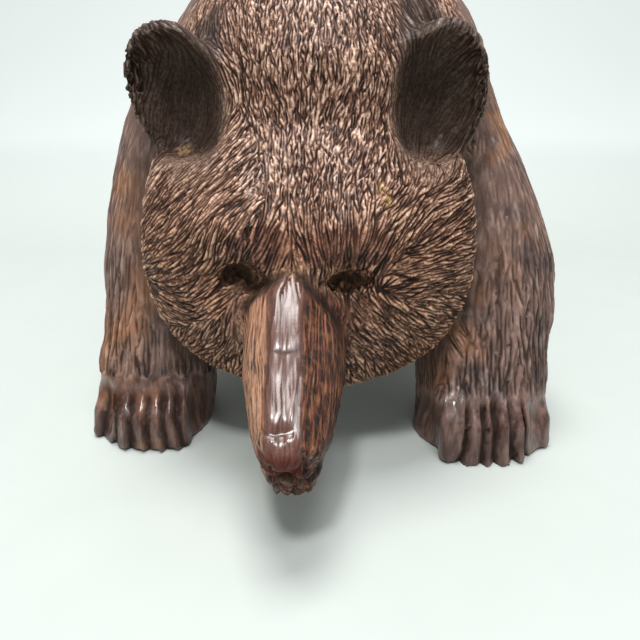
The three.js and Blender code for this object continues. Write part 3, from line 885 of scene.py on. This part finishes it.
def stainedWoodAndPaintedLight():
    material = bpy.data.materials.new("stained_wood")
    material.use_nodes = True
    tree = Wire.tree = material.node_tree
    surface = tree.nodes["Principled BSDF"]
    place = Wire.node("ShaderNodeTexCoord", output=3)
    cut, paintedShade, muzzle, face = (attribute(name) for name in ("cut", "paintedShade", "muzzle", "face"))
    tan, top, brow, toes, ears = (attribute(name) for name in ("tan", "top", "brow", "toes", "ears"))
    bare, rim, pad = attribute("bare"), attribute("rim"), attribute("pad")
    head = (face + ears).clamped()
    patches = noise(place, 38, 4)
    streaks = noise(Wire.node("ShaderNodeMapping", {}, {"Vector": place, "Scale": (1, 1, 0.22)}), 420, 4, 0.6)
    fine = noise(place, 900, 3, 0.65)
    bodyTone = mixColours(between(patches, 0.50, 0.68) * 0.7, stainAndPaintedLight["body"], stainAndPaintedLight["orange"])
    bodyTone = mixColours(between(noise(place, 70, 4), 0.50, 0.66) * 0.75, bodyTone, stainAndPaintedLight["blueBlack"])
    bodyTone = mixColours(between(streaks, 0.45, 0.75) * (1 - cut) * 0.75, bodyTone, stainAndPaintedLight["bodyTip"])
    hairTone = mixColours(between(noise(place, 160, 3), 0.48, 0.7) * 0.55, stainAndPaintedLight["hair"], stainAndPaintedLight["red"])
    # Pale tips on the hair ridges away from the cuts: partly wear, partly painted highlight
    wornAndLitTips = between(fine, 0.34, 0.60) * (1 - cut * 1.6).clamped()
    height = Wire.node("ShaderNodeSeparateXYZ", {}, {0: place}, output=2)
    # The tips are whiter higher up the head, a painted sheen on the forehead, and more orange on the cheeks
    wornAndLitTipTone = mixColours(between(height, 0.076, 0.098), stainAndPaintedLight["cheekTipWornAndLit"], stainAndPaintedLight["hairTipWornAndLit"])
    # The tips are lighter still along the face's rim, as a painted rim highlight
    hairTone = mixColours((wornAndLitTips * (0.85 + rim * 0.6)).clamped(), hairTone, wornAndLitTipTone)
    browTone = mixColours(wornAndLitTips * 0.8, stainAndPaintedLight["red"], stainAndPaintedLight["redTip"])
    hairTone = mixColours(brow * 0.8, hairTone, browTone)
    # Painted shade: the ears darkened towards near-black for their shaded hollows
    hairTone = mixColours(ears * 0.8, hairTone, stainAndPaintedLight["paintedShadeAndGrain"])
    tone = mixColours(head, bodyTone, hairTone)
    fibre = noise(Wire.node("ShaderNodeMapping", {"vector_type": "TEXTURE"}, {
        "Vector": place, "Rotation": (muzzlePitch, 0, 0), "Scale": (1, 16, 1.2)}), 1300, 3, 0.6)
    # The muzzle's grain: near-black between red fibre lines
    plane = mixColours(between(fibre, 0.44, 0.60), stainAndPaintedLight["paintedShadeAndGrain"], stainAndPaintedLight["red"])
    plane = mixColours(between(fibre, 0.54, 0.70) * 0.42, plane, stainAndPaintedLight["redTip"])
    plane = mixColours(between(streaks, 0.48, 0.72) * 0.4, plane, stainAndPaintedLight["orange"])
    plane = mixColours(tan * between(fibre, 0.37, 0.54), plane, stainAndPaintedLight["muzzleTan"])
    plane = mixColours(top * 0.8, plane, stainAndPaintedLight["muzzleTop"])
    plane = mixColours(pad * (1 - between(streaks, 0.5, 0.7) * 0.5), plane, stainAndPaintedLight["pad"])
    tone = mixColours(muzzle, tone, plane)
    toeTone = mixColours(between(streaks, 0.4, 0.7), stainAndPaintedLight["muzzle"], stainAndPaintedLight["body"])
    toeTone = mixColours(between(patches, 0.52, 0.66), toeTone, stainAndPaintedLight["orange"])
    tone = mixColours(toes, tone, toeTone)
    legs = between(height, 0.085, 0.045)
    # Painted shade: the gouge grooves darkened towards near-black by how deep each cut is, most on the head
    # and legs and least on the muzzle
    grooves = (0.5 + head * 0.5 + legs * 0.35).clamped() * (1 - muzzle * 0.6)
    tone = mixColours(between(cut, 0.32, 0.84) * grooves, tone, stainAndPaintedLight["paintedShadeAndGrain"])
    # Painted shade in the eye slots, cuts, nostrils, chin, ear hollows, toe grooves and on the body behind
    # the ruff
    tone = mixColours(paintedShade * 0.92, tone, stainAndPaintedLight["paintedShadeAndGrain"])
    tone = mixColours(bare * (1 - cut) * between(fine, 0.35, 0.55), tone, stainAndPaintedLight["bare"])
    tree.links.new(tone.socket, surface.inputs["Base Color"])
    chatter = noise(Wire.node("ShaderNodeMapping", {"vector_type": "TEXTURE"}, {
        "Vector": place, "Rotation": (muzzlePitch, 0, 0), "Scale": (1, 0.45, 1)}), 260, 4, 0.6)
    shine = 0.46 - top * 0.16 - toes * 0.08 - brow * 0.06 + cut * 0.45 + paintedShade * 0.4 + fine * 0.16
    wax = top * (0.55 + chatter * 0.9) + toes * 0.55 + brow * 0.3 + head * 0.22 + muzzle * 0.4 + legs * 0.25
    wax = wax * (1 - cut) * (1 - paintedShade) * (1 - pad * 0.85)
    tree.links.new(wax.clamped().socket, surface.inputs["Coat Weight"])
    surface.inputs["Coat Roughness"].default_value = 0.2
    surface.inputs["Specular IOR Level"].default_value = 0.28
    tree.links.new(shine.socket, surface.inputs["Roughness"])
    grain = noise(place, 1500, 4, 0.7) * (1 - muzzle * 0.6) + fibre * (muzzle * 2.4) + streaks * 0.8
    grain = grain + chatter * (top * 2.5) + noise(place, 320, 3) * (muzzle * (1 - top) * 2.0)
    bump = Wire.node("ShaderNodeBump", {}, {"Strength": 0.45, "Distance": 0.0004, "Height": grain})
    tree.links.new(bump.socket, surface.inputs["Normal"])
    return material


bear.data.materials.clear()
bear.data.materials.append(stainedWoodAndPaintedLight())
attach(bear, "root")
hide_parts("carved_bear")
print("bear finished")


# Floor, light and camera
studio = {
    "floor": (0.495, 0.53, 0.505),
    "dust": 0.975,
    "wall": (0.95, 0.99, 0.975),
    "sky": (0.93, 0.98, 0.97),
    "skyStrength": 0.50,
    "wallGlow": 0.15,
    "wallAt": 2.2,
    "wallHigh": 2.4,
    "lampsLookAt": (0, -0.13, 0.03),
    "lamps": {
        "panel": {"at": (-0.07, 0.02, 1.5), "size": 0.6, "power": 18},
        "key": {"at": (-0.13, -0.72, 1.25), "size": 0.16, "power": 8.7},
        "second": {"at": (0.17, -0.62, 1.3), "size": 0.34, "power": 4.7},
    },
}


def makeStudio():
    deselectAll()
    bpy.ops.mesh.primitive_plane_add(size=1, location=(0, 0, 0))
    floor = bpy.context.object
    floor.name = "floor"
    floor.dimensions = (9, 2 * studio["wallAt"], 0)
    bpy.ops.object.transform_apply(location=True, rotation=True, scale=True)
    floor.data.polygons[0].select = False
    for edge in floor.data.edges:
        edge.select = all(floor.data.vertices[v].co.y > 0 for v in edge.vertices)
    for vertex in floor.data.vertices:
        vertex.select = vertex.co.y > 0
    bpy.ops.object.mode_set(mode="EDIT")
    bpy.ops.mesh.select_mode(type="EDGE")
    bpy.ops.mesh.extrude_region_move(TRANSFORM_OT_translate={"value": (0, 0, studio["wallHigh"])})
    bpy.ops.object.mode_set(mode="OBJECT")
    applyModifier(floor, "BEVEL", width=0.9, segments=24, limit_method="ANGLE")
    bpy.ops.object.shade_smooth()
    paint = bpy.data.materials.new("floor_paint")
    paint.use_nodes = True
    Wire.tree = paint.node_tree
    surface = paint.node_tree.nodes["Principled BSDF"]
    surface.inputs["Roughness"].default_value = 0.6
    place = Wire.node("ShaderNodeTexCoord", output=3)
    dusty = [v * studio["dust"] for v in studio["floor"]]
    tone = mixColours(between(noise(place, 40, 5), 0.3, 0.7), studio["floor"], dusty)
    back = Wire.node("ShaderNodeSeparateXYZ", {}, {0: place}, output=1)
    tone = mixColours(between(back, 0.2, 1.5), tone, studio["wall"])
    paint.node_tree.links.new(tone.socket, surface.inputs["Base Color"])
    glow = mixColours(between(back, 0.1, 1.6), (0, 0, 0), studio["wall"])
    paint.node_tree.links.new(glow.socket, surface.inputs["Emission Color"])
    surface.inputs["Emission Strength"].default_value = studio["wallGlow"]
    floor.data.materials.append(paint)
    world = bpy.data.worlds.new("studio")
    bpy.context.scene.world = world
    world.use_nodes = True
    background = world.node_tree.nodes["Background"]
    background.inputs["Color"].default_value = (*studio["sky"], 1)
    background.inputs["Strength"].default_value = studio["skyStrength"]
    for name, lamp in studio["lamps"].items():
        bpy.ops.object.light_add(type="AREA", location=lamp["at"])
        made = bpy.context.object
        made.name = name
        made.data.size = lamp["size"]
        made.data.energy = lamp["power"]
        aim = Vector(studio["lampsLookAt"]) - Vector(lamp["at"])
        made.rotation_euler = aim.to_track_quat("-Z", "Y").to_euler()


# The camera close in front of the nose, looking down on the head
view = {
    "aside": -1.7, "before": 124.3, "height": 118, "down": 20, "lens": 33.75, "sensor": 36, "nearest": 0.01,
}


def makeCamera():
    spot = (midX + view["aside"] * mm, low.y - view["before"] * mm, view["height"] * mm)
    bpy.ops.object.camera_add(location=spot)
    camera = bpy.context.object
    camera.rotation_euler = (math.radians(90 - view["down"]), 0, 0)
    camera.data.lens = view["lens"]
    camera.data.sensor_width = view["sensor"]
    camera.data.clip_start = view["nearest"]
    bpy.context.scene.camera = camera


makeStudio()
makeCamera()
bpy.context.scene.view_settings.view_transform = "Standard"
